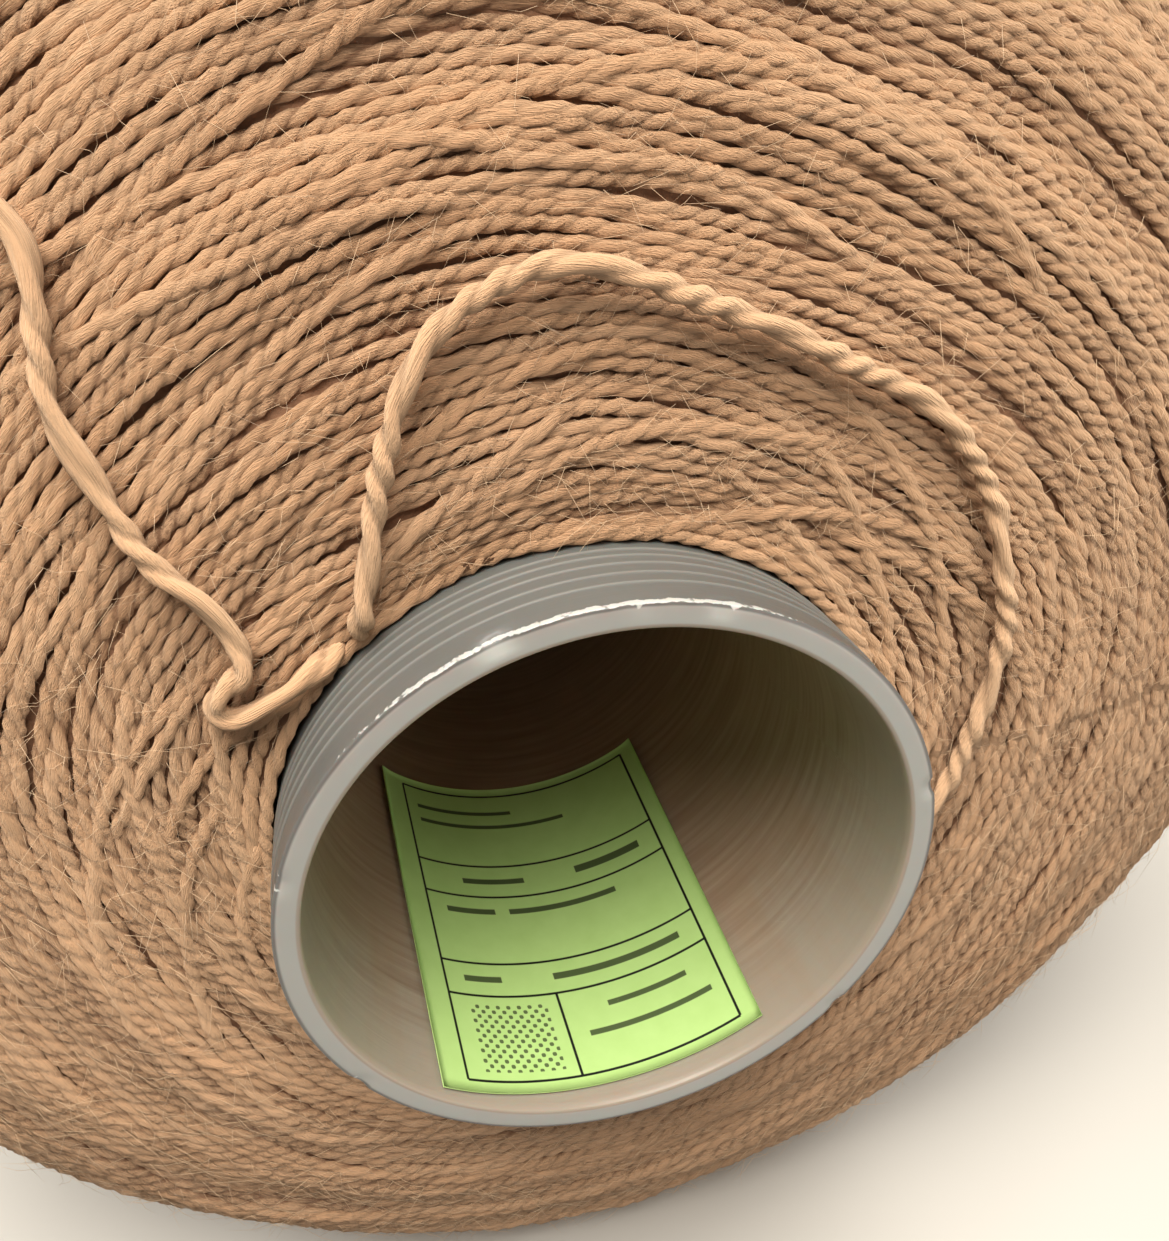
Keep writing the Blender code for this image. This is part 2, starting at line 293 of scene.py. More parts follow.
def tube_wall():
    """The turned profile of the wall, as depth, radius and a mark of 1 on the inside.

    Outside it is the cone plus a narrow bell at each rib; the lips are quarter circles.
    """
    ledges = RIB_DEPTHS[:, None] + np.array([-0.5, -0.24, -0.12, 0, 0.12, 0.24, 0.5]) * MM
    fine = np.concatenate([[RIM_ROUND, 0.6 * MM, 1.2 * MM, 2.4 * MM], ledges.ravel(), [12.4 * MM]])
    coarse = np.linspace(14 * MM, TUBE_LENGTH - NOSE_ROUND, 14)
    depth = np.concatenate([fine, coarse])
    bells = np.exp(-((depth[:, None] - RIB_DEPTHS) / (0.32 * RIB_HALF_WIDTH)) ** 2).sum(axis=1)
    outside = np.stack([depth, tube_radius(depth) + RIB_HEIGHT * bells, 0 * depth], axis=1)
    nose = tube_radius(TUBE_LENGTH)
    turn = np.linspace(0, math.pi / 2, 4)[1:]
    out_lip = np.stack([TUBE_LENGTH - NOSE_ROUND * (1 - np.sin(turn)), nose - NOSE_ROUND * (1 - np.cos(turn)),
                        0 * turn], axis=1)
    in_lip = np.stack([TUBE_LENGTH - NOSE_ROUND * (1 - np.cos(turn)),
                       nose - WALL + NOSE_ROUND * (1 - np.sin(turn)), 1 + 0 * turn], axis=1)
    back = np.concatenate([np.linspace(TUBE_LENGTH - 2 * MM, 14 * MM, 16), np.arange(13, 0.9, -1.2) * MM])
    inside = np.stack([back, tube_radius(back) - WALL, 1 + 0 * back], axis=1)
    rim_in = np.stack([RIM_ROUND * (1 - np.sin(turn)), MOUTH_RADIUS - WALL + RIM_ROUND * (1 - np.cos(turn)),
                       1 + 0 * turn], axis=1)
    across = np.linspace(MOUTH_RADIUS - WALL + 2 * RIM_ROUND, MOUTH_RADIUS - 2 * RIM_ROUND, 5)
    flat = np.stack([0 * across, across, 0.5 + 0 * across], axis=1)
    rim_out = np.stack([RIM_ROUND * (1 - np.cos(turn)), MOUTH_RADIUS - RIM_ROUND * (1 - np.sin(turn)),
                        0 * turn], axis=1)
    return np.concatenate([outside, out_lip, in_lip, inside, rim_in, flat, rim_out[:-1]])


profile = tube_wall()
azimuth = np.linspace(0, 2 * math.pi, TUBE_AROUND, endpoint=False)
depth = np.repeat(profile[:, :1], TUBE_AROUND, axis=1)
radius = np.repeat(profile[:, 1:2], TUBE_AROUND, axis=1)
inside = np.repeat(profile[:, 2:], TUBE_AROUND, axis=1)
outer_edge = np.clip((radius - MOUTH_RADIUS + 1.6 * MM) / (1.6 * MM), 0, 1) * (depth < 1.2 * MM)
outer_edge = outer_edge * (inside < 0.9)
nick, nick_share = np.zeros_like(depth), np.zeros_like(depth)
for middle, spread, deep in NICKS:
    apart = (np.degrees(azimuth) - middle + 180) % 360 - 180
    nick = np.maximum(nick, deep * MM * np.exp(-(apart / spread) ** 4)[None, :])
    nick_share = np.maximum(nick_share, np.exp(-(apart / spread) ** 4)[None, :])
ragged = 0.5 + 0.35 * np.sin(47 * azimuth + 2 * np.sin(9 * azimuth)) + 0.25 * np.sin(83 * azimuth + 1.3)
# Painted highlight: a ragged band along the top of the rim's outer edge, over the raised burr, is coloured whitish.
flash = np.exp(-((np.degrees(azimuth) - 98) / 46) ** 4)[None, :] * np.clip(outer_edge * 6 - 5, 0, 1)
shell_values = {
    "inside": inside,
    "depth_mm": depth / MM,
    "turn": np.repeat(azimuth[None, :], len(profile), axis=0),
    "rib": np.exp(-((depth[..., None] - RIB_DEPTHS) / (0.36 * RIB_HALF_WIDTH)) ** 2).sum(axis=-1),
    "flash": np.maximum(flash, 0.95 * np.clip(4 * nick_share * (1 - nick_share), 0, 1) * outer_edge),
}
depth = depth + nick * outer_edge - 0.22 * MM * ragged[None, :] * flash
radius = radius - 0.5 * nick * outer_edge
points = placed(depth, radius, azimuth[None, :])
tube_shell = mesh_piece("tube_shell", points, quads(*depth.shape, True, True)[:, ::-1],
                        {key: value.ravel() for key, value in shell_values.items()})

plastic, shader, start = new_material("tube_plastic", 0.38, Subsurface_Weight=0.25,
                                      Subsurface_Scale=0.004, Specular_IOR_Level=0.45)
place = start.node("ShaderNodeTexCoord", None, 3)
cloud = place.noise(38.0, 3.0)
scuffs = place.noise(260.0, 3.0)
grit = place.noise(1500.0, 2.0)
depth_mm, turn = attribute(start, "depth_mm"), attribute(start, "turn")
wound = start.node("ShaderNodeCombineXYZ", None, 0, i0=depth_mm * 1.3, i1=turn * 1.6).noise(1.0, 3.0)
drawn = start.node("ShaderNodeCombineXYZ", None, 0, i0=depth_mm * 0.03, i1=turn * 9.0).noise(1.0, 2.0)
depth_in = depth_mm + (cloud - 0.5) * 14.0 + (drawn - 0.5) * 16.0
near_wall = depth_in.between(1.0, 20.0).pick((0.71, 0.67, 0.61), (0.70, 0.61, 0.52))
mid_wall = depth_in.between(16.0, 50.0).pick(near_wall, (0.70, 0.59, 0.48))
# Painted shade: past 46 mm deep the inner wall is coloured darker, for the shade deep in the bore; the tan before that
# is the yarn behind the wall.
bore_wall_painted_shade = depth_in.between(46.0, 110.0).pick(mid_wall, (0.56, 0.46, 0.36))
behind = (wound - 0.5) * depth_mm.between(2.0, 14.0) * 1.5 + 0.35
inner_wall = behind.pick(bore_wall_painted_shade, bore_wall_painted_shade.node("ShaderNodeMix", {"data_type": "RGBA", "blend_type": "MULTIPLY"},
                                                   2, i0=1.0, i6=bore_wall_painted_shade, i7=as_colour((0.80, 0.74, 0.70))))
outer_wall = cloud.pick((0.41, 0.41, 0.40), (0.48, 0.48, 0.46))
# Painted highlight: the rib crests are coloured lighter than the wall between them.
rib_highlight_wall = (attribute(start, "rib") * 0.75).pick(outer_wall, (0.58, 0.58, 0.56))
wall_colour = attribute(start, "inside").between(0.6, 0.95).pick(
    attribute(start, "inside").between(0.1, 0.4).pick(rib_highlight_wall, (0.72, 0.72, 0.69)), inner_wall)
# Painted highlight: the top band over the burr, and the whitish nick edges, are mixed into the wall colour.
burr_highlight_mark = (attribute(start, "flash") + (grit - 0.5) * 0.9).between(0.62, 0.80)
paint(shader, "Base Color", (burr_highlight_mark * 0.9).pick(wall_colour, (0.86, 0.86, 0.84)))
paint(shader, "Roughness", 0.28 + scuffs * 0.20)
paint(shader, "Normal", start.node("ShaderNodeBump", None, 0, Strength=0.3, Distance=0.0002,
                                   Height=scuffs + wound * 0.6))
tube_shell.data.materials.append(plastic)
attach(tube_shell, "root")
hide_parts("cone_tube")


# The label: a small rectangle of green coated paper with printed black rules, rolled onto the wall
# inside the mouth and stuck there at the bottom of the bore.
LABEL_WIDTH = 36.7 * MM
LABEL_LENGTH = 45.6 * MM
LABEL_INSET = 2.2 * MM
LABEL_THICKNESS = 0.16 * MM
LABEL_AZIMUTH = math.radians(-94.2)
LABEL_TURN = math.radians(2.2)
LABEL_GAP = 0.3 * MM


def rolled(x, y, lift):
    """A flat sheet rolled onto the inner wall: distance from the cone's tip stays, so it doesn't stretch."""
    middle = LABEL_LENGTH / 2
    turned_x = x * math.cos(LABEL_TURN) - (y - middle) * math.sin(LABEL_TURN)
    turned_y = middle + x * math.sin(LABEL_TURN) + (y - middle) * math.cos(LABEL_TURN)
    mouth_slant = (MOUTH_RADIUS - WALL) / math.sin(TAPER)
    down = mouth_slant - LABEL_INSET - turned_y
    slant = np.hypot(turned_x, down)
    around = LABEL_AZIMUTH + np.arctan2(turned_x, down) / math.sin(TAPER)
    return placed((mouth_slant - slant) * math.cos(TAPER), slant * math.sin(TAPER) - lift, around)


x, y = np.meshgrid(np.linspace(-0.5, 0.5, 49) * LABEL_WIDTH, np.linspace(0, 1, 41) * LABEL_LENGTH,
                   indexing="ij")
corner_lift = 0.25 * MM * (np.clip(np.abs(x) / LABEL_WIDTH * 2 - 0.86, 0, 1) / 0.14) ** 2
corner_lift = corner_lift * np.clip(y / LABEL_LENGTH * 2 - 1.2, 0, 1)
front = rolled(x, y, LABEL_GAP + LABEL_THICKNESS + corner_lift)
back = rolled(x, y, LABEL_GAP + corner_lift)
rows, columns = x.shape
front_faces = quads(rows, columns, False, False)
back_faces = front_faces[:, ::-1] + rows * columns
edge = np.concatenate([
    np.arange(rows) * columns,
    (rows - 1) * columns + np.arange(1, columns),
    np.arange(rows - 2, -1, -1) * columns + columns - 1,
    np.arange(columns - 2, 0, -1),
])
edge_faces = np.stack([np.roll(edge, -1), edge, edge + rows * columns,
                       np.roll(edge, -1) + rows * columns], axis=1)
sheet_mm = np.stack([x / MM, y / MM, 0 * x], axis=-1).reshape(-1, 3)
label_sheet = mesh_piece("label_sheet", np.concatenate([front.reshape(-1, 3), back.reshape(-1, 3)]),
                         np.concatenate([front_faces, back_faces, edge_faces]),
                         {"sheet_mm": np.concatenate([sheet_mm, sheet_mm])})

paper, shader, start = new_material("label_paper", 0.5, Specular_IOR_Level=0.4)
split = start.node("ShaderNodeSeparateXYZ", None, 0, i0=attribute(start, "sheet_mm", 1))
across, up = split, Tint(split.tree, split.socket.node.outputs[1])
RULE = 0.30
FRAME_LEFT, FRAME_RIGHT, FRAME_LOW, FRAME_HIGH = -15.1, 16.2, 1.3, 44.2
ROW_RULES = (31.7, 26.7, 16.6, 12.1)
CELL_RULE = -2.1


def band(value, middle, width):
    """1 within half a width of the middle, and 0 outside, with a soft edge."""
    return 1 - (value - middle).math("ABSOLUTE").between(width / 2 - 0.05, width / 2 + 0.05)


def within(value, low, high):
    """1 between low and high."""
    return band(value, (low + high) / 2, high - low)


in_frame = within(across, FRAME_LEFT, FRAME_RIGHT) * within(up, FRAME_LOW, FRAME_HIGH)
ink = (band(across, FRAME_LEFT, RULE) + band(across, FRAME_RIGHT, RULE)) * within(up, FRAME_LOW, FRAME_HIGH)
for height in (FRAME_LOW, FRAME_HIGH, *ROW_RULES):
    ink = ink + band(up, height, RULE) * within(across, FRAME_LEFT, FRAME_RIGHT)
ink = ink + band(across, CELL_RULE, RULE) * within(up, FRAME_LOW, ROW_RULES[-1])
# Generic marks stand where the printing would be: plain bars for the words, and a plain grid of dots.
BARS = ((-13.4, -0.5, 41.0, 0.6), (-13.4, 6.0, 38.6, 0.6), (-9.5, -1.6, 29.2, 0.8), (5.0, 13.6, 29.3, 1.1),
        (-12.6, -6.4, 24.4, 0.8), (-4.6, 8.8, 24.4, 0.8), (-12.6, -8.0, 14.4, 0.8), (-1.8, 13.6, 14.4, 0.9),
        (3.2, 12.6, 9.4, 0.7), (0.2, 14.6, 6.2, 0.7))
for left, right, middle, tall in BARS:
    ink = ink + band(up, middle, tall) * within(across, left, right) * 0.85
dots = ((across * (2 * math.pi / 1.25)).math("COSINE") * (up * (2 * math.pi / 1.25)).math("COSINE"))
ink = ink + dots.between(0.25, 0.45) * within(across, -12.8, -3.6) * within(up, 2.4, 11.0) * 0.8
fibre_cloud = attribute(start, "sheet_mm", 1).noise(0.35, 3.0)
green = fibre_cloud.pick((0.74, 0.89, 0.53), (0.80, 0.94, 0.60))
paint(shader, "Base Color", ink.math("MINIMUM", 1.0).pick(green, (0.08, 0.09, 0.07)))
label_sheet.data.materials.append(paper)
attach(label_sheet, "root")
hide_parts("label")


# The wound yarn: some kilometres of two-ply camel wool laid crosswise on the tube. Seen from outside it
# is a thick ring with a domed face at each end. Under the turns that show lies a bed of the same wool,
# coloured darker as painted shade between the turns.
YARN_THICKNESS = 65.0 * MM
THICKNESS_SWAY = 2.5 * MM
FACE_START = 11.8 * MM
DOME_DEPTH = 30.5 * MM
DOME_SWAY = -3.0 * MM
DOME_POWER = 2.2
NOSE_END = 158 * MM
NOSE_DOME_DEPTH = 16 * MM
WAVE = 0.8 * MM
WAVE_LENGTH = 13.5 * MM
GAP = 0.3 * MM
REACH_STEP = 1.0 * MM
TABLE_AROUND = 144


def wound_outline(azimuth):
    """Depth and radius of the wound yarn's outside: two quarter superellipses joined by the flank.

    Each face is 1 less the cosine deep and the sine to 2/2.2 high, and soft waves run over both.
    """
    thick = YARN_THICKNESS + THICKNESS_SWAY * math.cos(azimuth) - GAP
    turn = np.linspace(0, math.pi / 2, 61)
    dome = DOME_DEPTH + DOME_SWAY * math.cos(azimuth)
    flank_end = NOSE_END - NOSE_DOME_DEPTH
    flank = np.linspace(FACE_START + dome, flank_end, 41)[1:]
    back = turn[::-1][1:]
    depth = np.concatenate([FACE_START + dome * (1 - np.cos(turn)), flank,
                            NOSE_END - NOSE_DOME_DEPTH * (1 - np.cos(back))])
    height = thick * np.concatenate([np.sin(turn) ** (2 / DOME_POWER), 0 * flank + 1,
                                     np.sin(back) ** (2 / DOME_POWER)])
    fade = np.concatenate([np.sin(2 * turn), 0 * flank, np.sin(2 * back)])
    radius = tube_radius(depth) + GAP + height
    reach = np.concatenate([[0], np.cumsum(np.hypot(np.diff(depth), np.diff(radius)))])
    phase = 2 * math.pi * reach / WAVE_LENGTH
    wave = WAVE * fade * (0.6 * np.sin(phase + 3 * azimuth) + 0.4 * np.sin(0.7 * phase - 5 * azimuth + 1))
    slope_depth, slope_radius = np.gradient(depth), np.gradient(radius)
    size = np.hypot(slope_depth, slope_radius)
    return reach, depth - slope_radius / size * wave, radius + slope_depth / size * wave


outlines = [wound_outline(a) for a in np.linspace(0, 2 * math.pi, TABLE_AROUND, endpoint=False)]
REACH_END = min(reach[-1] for reach, _, _ in outlines)
stations = np.arange(0, REACH_END, REACH_STEP)
# The yarn is thicker on one side, so past the shoulder the stations stretch to reach the small end.
SHOULDER = 120 * MM


def stretched_to(end):
    """The stations, each past the shoulder moved on in proportion so that the last is at the end."""
    past = np.maximum(stations - SHOULDER, 0)
    return np.minimum(stations, SHOULDER) + past * (end - SHOULDER) / (REACH_END - SHOULDER)


outline_table = np.array([[np.interp(stretched_to(r[-1]), r, d), np.interp(stretched_to(r[-1]), r, w)]
                          for r, d, w in outlines])


def over_yarn(reach, azimuth, height):
    """Points over the wound yarn and their outward directions.

    Reach is the way along the surface from the tube at the front, and height is square to the surface.
    The outline is read between the table's azimuths and stations in proportion.
    """
    reach, azimuth, height = np.broadcast_arrays(reach, azimuth, height)
    turn = (azimuth / (2 * math.pi) % 1) * TABLE_AROUND
    i = np.floor(turn).astype(int) % TABLE_AROUND
    f = (turn - np.floor(turn))[..., None]
    k = np.clip(reach / REACH_STEP, 0.5, len(stations) - 2.001)
    j = np.floor(k).astype(int)
    g = (k - j)[..., None]
    near, far = outline_table[i], outline_table[(i + 1) % TABLE_AROUND]
    blend = near * (1 - f[..., None]) + far * f[..., None]
    low = np.take_along_axis(blend, j[..., None, None], axis=-1)[..., 0]
    high = np.take_along_axis(blend, (j + 1)[..., None, None], axis=-1)[..., 0]
    depth, radius = np.moveaxis(low * (1 - g) + high * g, -1, 0)
    slope = high - low
    slope = slope / np.linalg.norm(slope, axis=-1, keepdims=True)
    normal = -slope[..., 1:] * INWARD + slope[..., :1] * outwards(azimuth)
    return placed(depth, radius, azimuth) + height[..., None] * normal, normal


def grounded(points, clearance):
    """Points no lower than a clearance over the surface that the package lies on."""
    points = points.copy()
    points[..., 2] = np.maximum(points[..., 2], clearance)
    return points


BED_SUNK = 1.30 * MM
bed_azimuth = np.linspace(0, 2 * math.pi, 120, endpoint=False)
bed_reach = np.linspace(0.4 * MM, REACH_END - 1.0 * MM, 110)
sunk = BED_SUNK * np.clip(np.minimum(bed_reach, REACH_END - bed_reach) / (2 * MM), 0.1, 1)
outer, _ = over_yarn(bed_reach[None, :], bed_azimuth[:, None], -sunk[None, :])
inner_depth = np.linspace(NOSE_END - 3 * MM, FACE_START + 2 * MM, 6)
inner = placed(inner_depth[None, :], tube_radius(inner_depth)[None, :] + GAP, bed_azimuth[:, None])
bed_points = grounded(np.concatenate([outer, inner], axis=1), 0.4 * MM)
yarn_bed = mesh_piece("yarn_bed", bed_points, quads(*bed_points.shape[:2], True, True))

shaded_bed_wool, shader, start = new_material("shaded_bed_wool", 0.95, Specular_IOR_Level=0.1)
place = start.node("ShaderNodeTexCoord", None, 3)
tuft = place.noise(900.0, 3.0)
# Painted shade: the bed's wool is coloured darker than the turns, for the shade between them.
paint(shader, "Base Color", tuft.pick((0.50, 0.36, 0.28), (0.68, 0.52, 0.40)))
paint(shader, "Normal", start.node("ShaderNodeBump", None, 0, Strength=0.8, Distance=0.0006, Height=tuft))
yarn_bed.data.materials.append(shaded_bed_wool)
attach(yarn_bed, "root")
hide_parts("yarn_body")


# The turns that show: single lays of the two-ply yarn, S-plied, in the order that the guide left them.
# On the front face they run nearly round the tube, sway in and out, and pass over and under each other.
YARN_WIDTH = 1.62 * MM
PLY_PITCH = 5.2 * MM


def strand_grid(line, normal, width, per_ring, pitch, closed, twisted=True, waist=0.16, phase=0.0):
    """The surface of a strand: a section with two lobes, carried along a line and turned as it goes.

    The section's radius is half the width times 1 less the waist, plus the waist times the cosine of
    twice the angle, so it is widest across the two plies. An untwisted one has a round section, and
    its plies are left to the material. The second result tells the material the number of twists so
    far and the direction from the middle of the strand, sideways and upwards.
    """
    if closed:
        ahead = np.roll(line, -1, axis=0) - np.roll(line, 1, axis=0)
    else:
        ahead = np.gradient(line, axis=0)
    ahead = ahead / np.linalg.norm(ahead, axis=1, keepdims=True)
    side = np.cross(ahead, normal)
    side = side / np.linalg.norm(side, axis=1, keepdims=True)
    over = np.cross(side, ahead)
    along = np.concatenate([[0], np.cumsum(np.linalg.norm(np.diff(line, axis=0), axis=1))])
    total = along[-1] + (np.linalg.norm(line[0] - line[-1]) if closed else 0)
    share = 2 * math.pi * along / total
    waves = max(1, round(total / (17 * MM)))
    twists = phase + along / total * max(1, round(total / pitch)) + 0.16 * np.sin(waves * share + 5 * phase)
    width = width * (1 + 0.06 * np.sin((waves + 3) * share + 9 * phase)
                     + 0.05 * np.sin((2 * waves + 1) * share + 4 * phase))[:, None]
    around = np.linspace(0, 2 * math.pi, per_ring, endpoint=False)
    if twisted:
        angle = around[None, :] + 2 * math.pi * twists[:, None]
        section = width / 2 * ((1 - waist) + waist * np.cos(2 * around))[None, :] + 0 * angle
    else:
        angle = around[None, :] + 0 * twists[:, None]
        section = width / 2 * 0.9 + 0 * angle
    sideways, upwards = section * np.cos(angle), section * np.sin(angle)
    points = line[:, None] + sideways[..., None] * side[:, None] + upwards[..., None] * over[:, None]
    strand = np.stack([np.broadcast_to(twists[:, None], angle.shape), np.cos(angle), np.sin(angle)], axis=-1)
    return points, strand, upwards


def strand_faces(rows, columns, closed):
    """Triangles round a strand of that many sections and points a section; its two ends are fans."""
    sides = quads(rows, columns, closed, True)[:, ::-1]
    faces = [sides[:, [0, 1, 2]], sides[:, [0, 2, 3]]]
    if not closed:
        ring = np.arange(1, columns - 1)
        start = np.stack([0 * ring, ring, ring + 1], axis=1)
        faces += [start, start[:, ::-1] + (rows - 1) * columns]
    return np.concatenate(faces)


def pointed(points, line, taper=0.9 * MM):
    """The strand drawn in at its ends: by the root of the distance to the end as a share of the taper."""
    along = np.concatenate([[0], np.cumsum(np.linalg.norm(np.diff(line, axis=0), axis=1))])
    share = np.sqrt(np.clip(np.minimum(along, along[-1] - along) / taper, 0.02, 1))
    return line[:, None] + (points - line[:, None]) * share[:, None, None]


class Lays:
    """A batch of strands that become one piece."""

    def __init__(self):
        self.points, self.faces, self.strand, self.crown, self.tone, self.count = [], [], [], [], [], 0
        self.outward = []

    def add(self, reach, azimuth, height, tone, per_ring, closed, twisted=True, width=YARN_WIDTH):
        """One strand along a route over the yarn. Its crown shade, painted into the colour, is 0 low between its
        neighbours and 1 on top.
        """
        line, normal = over_yarn(reach, azimuth, height)
        line = grounded(line, 0.75 * MM)
        points, strand, upwards = strand_grid(line, normal, width, per_ring, PLY_PITCH, closed, twisted,
                                              phase=tone * 7.3)
        if not closed:
            points = pointed(points, line)
        points = grounded(points, 0.15 * MM)
        # Painted shade: points low between neighbouring strands get 0 and are coloured darker, points on top get 1.
        crown = np.clip((height[:, None] + upwards + 1.8 * MM) / (1.9 * MM), 0, 1)
        self.faces.append(strand_faces(*crown.shape, closed) + self.count)
        self.count += crown.size
        self.points.append(points.reshape(-1, 3))
        self.strand.append(strand.reshape(-1, 3))
        self.crown.append(crown.ravel())
        self.tone.append(np.full(crown.size, tone))
        self.outward.append(np.repeat(normal, per_ring, axis=0))

    def piece(self, name, material):
        """The mesh of all the strands in the batch, riding on the package."""
        made = mesh_piece(name, np.concatenate(self.points), np.concatenate(self.faces), {
            "strand": np.concatenate(self.strand),
            "crown": np.concatenate(self.crown),
            "tone": np.concatenate(self.tone),
        })
        soften(made, np.concatenate(self.outward), 0.45)
        made.data.materials.append(material)
        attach(made, "root")
        return made


def ripple(rng, azimuth, radius, shortest, longest, count=3):
    """A smooth random sway round a ring: sines with whole numbers of waves, of those wavelengths."""
    around = 2 * math.pi * radius
    waves = rng.integers(max(1, round(around / longest)), max(3, round(around / shortest)) + 1, count)
    phases = rng.uniform(0, 2 * math.pi, count)
    return np.sin(waves[:, None] * azimuth + phases[:, None]).sum(axis=0) / math.sqrt(count)


def wool(name, painted_shade_colour, light, brown, groove):
    """Fuzzy wool, with painted light in its colour: lighter on the crown of a strand and of each ply, and painted shade
    between them.

    The ply pattern is the cosine of twice the angle round the strand, less twice the twist so far, so
    its lines run as the two plies do. Fibre streaks run along the strand.
    """
    made, shader, start = new_material(name, 0.90, Specular_IOR_Level=0.15, Sheen_Weight=0.35,
                                       Sheen_Roughness=0.45, Diffuse_Roughness=1.0)
    shader.inputs["Sheen Tint"].default_value = (1.0, 0.78, 0.58, 1.0)
    strand = attribute(start, "strand", 1)
    parts = strand.node("ShaderNodeSeparateXYZ", None, 0, i0=strand)
    sockets = parts.socket.node.outputs
    twists, sideways, upwards = (Tint(strand.tree, socket) for socket in sockets)
    tone = attribute(start, "tone")
    loose = start.node("ShaderNodeCombineXYZ", None, 0, i0=twists * 5.0 + tone * 700, i1=sideways,
                       i2=upwards)
    streak = loose.stretched((0.55, 2.6, 2.6)).noise(1.0, 3.0, 0.6)
    fine = loose.stretched((1.6, 9.0, 9.0)).noise(1.0, 2.0)
    turn = twists * (4 * math.pi)
    size = sideways * sideways + upwards * upwards
    cosine = (sideways * sideways - upwards * upwards) / size
    sine = sideways * upwards * 2 / size
    ply = cosine * turn.math("COSINE") + sine * turn.math("SINE")
    valley = 1 - (ply * -1 + (streak - 0.5) * 1.1).between(0.25, 1.1) * (streak * 1.6)
    place = start.node("ShaderNodeTexCoord", None, 3)
    patch = place.noise(45.0, 2.0)
    # Partly fibre streaks, partly painted shade: low between strands and in the ply valleys the colour goes to the
    # shaded one.
    painted_light_share = attribute(start, "crown") + (streak - 0.5) * 0.85 + (fine - 0.5) * 0.95 + (valley - 1) * groove
    body = painted_light_share.between(0.0, 0.95).pick(painted_shade_colour, light)
    browner = body.node("ShaderNodeMix", {"data_type": "RGBA", "blend_type": "MULTIPLY"}, 2, i0=1.0, i6=body,
                        i7=as_colour(brown))
    paint(shader, "Base Color", (patch * 0.6 + tone * 0.6 - 0.15).pick(body, browner))
    relief = streak * 1.1 + fine * 1.7 + valley * (0.3 + groove)
    paint(shader, "Normal", start.node("ShaderNodeBump", None, 0, Strength=0.8, Distance=0.0003,
                                       Height=relief))
    return made


camel = wool("camel_wool", (0.60, 0.44, 0.33), (0.93, 0.77, 0.61), (0.95, 0.92, 0.89), 0.32)
RING_SPACING = 1.18 * MM


def crease(phase, sharp):
    """1 in a narrow valley at each whole turn of the phase, and 0 between: a bell of the phase's sine."""
    return np.exp(-(np.sin(phase / 2) / sharp) ** 2)


def bundles(reach, azimuth):
    """How far neighbouring lays rise and sink together, in millimetres.

    Long creases part the bundles that the guide laid side by side. They run nearly round the tube, in
    and out at a few degrees, and soft waves make each one fade and come back.
    """
    r = reach / MM
    inward = 2 * math.pi * r / 9.7 + 3 * azimuth + 0.9 * np.sin(2 * azimuth + r / 21)
    outward = 2 * math.pi * r / 7.1 - 4 * azimuth + 0.8 * np.sin(3 * azimuth - r / 17 + 2)
    steep = 2 * math.pi * r / 12.3 + 9 * azimuth + 1.2 * np.sin(4 * azimuth + 1)
    fade = 0.5 + 0.5 * np.sin(5 * azimuth + r / 6.3)
    return (-0.62 * crease(inward, 0.26) * fade - 0.52 * crease(outward, 0.28) * (1 - fade)
            - 0.36 * crease(steep, 0.24) * fade + 0.14 * np.sin(inward * 0.5 + azimuth))


FACE_REACH = 74 * MM
rng = np.random.default_rng(7)
face_reaches = np.arange(0.55 * MM, FACE_REACH, RING_SPACING)
batches = [Lays(), Lays(), Lays()]
for ring, reach in enumerate(face_reaches):
    radius = float(np.interp(reach, stations, outline_table[:, 1].mean(axis=0)))
    count = int(2 * math.pi * radius / (0.93 * MM))
    azimuth = np.linspace(0, 2 * math.pi, count, endpoint=False)
    free = min(1.0, reach / (6 * MM))
    shared = 1.4 * np.sin(3 * azimuth + reach / (26 * MM)) + 0.9 * np.sin(5 * azimuth - reach / (20 * MM) + 1)
    own = 0.32 * ripple(rng, azimuth, radius, 24 * MM, 60 * MM)
    path = reach + free * (shared + own) * MM
    height = (-0.78 + 0.10 * ripple(rng, azimuth, radius, 14 * MM, 40 * MM) + bundles(path, azimuth)) * MM
    height = height + 0.5 * MM * max(0.0, 1 - reach / (3.5 * MM))
    tone = rng.uniform()
    batches[0 if reach < 34 * MM else 1 if reach < 55 * MM else 2].add(
        np.maximum(path, 0.55 * MM), azimuth, height, tone, 8, True)

CROSSINGS = 70
crossings = Lays()
for _ in range(CROSSINGS):
    reach = rng.uniform(1.0, 66) * MM
    radius = float(np.interp(reach, stations, outline_table[:, 1].mean(axis=0)))
    length = rng.uniform(26, 78) * MM
    steep = rng.uniform(5, 15) + 12 * max(0, 1 - reach / (22 * MM))
    slope = math.tan(math.radians(steep)) * rng.choice((-1, 1))
    t = np.linspace(-0.5, 0.5, int(length / (0.78 * MM)))
    azimuth = rng.uniform(0, 2 * math.pi) + t * length / radius
    path = reach + slope * t * length + 0.5 * MM * np.sin(9 * t + rng.uniform(0, 6))
    dive = np.clip((0.5 - np.abs(t)) * length / (9 * MM), 0, 1)
    height = (-1.7 + 1.25 * np.sin(dive * math.pi / 2) + 0.12 * np.sin(20 * t)) * MM + 0.5 * MM * bundles(path, azimuth)
    crossings.add(np.clip(path, 1.0 * MM, 72 * MM), azimuth, height, rng.uniform(), 8, False)
for number, batch in enumerate(batches):
    batch.piece(f"face_turns_{number + 1}", camel)
crossings.piece("face_crossings", camel)


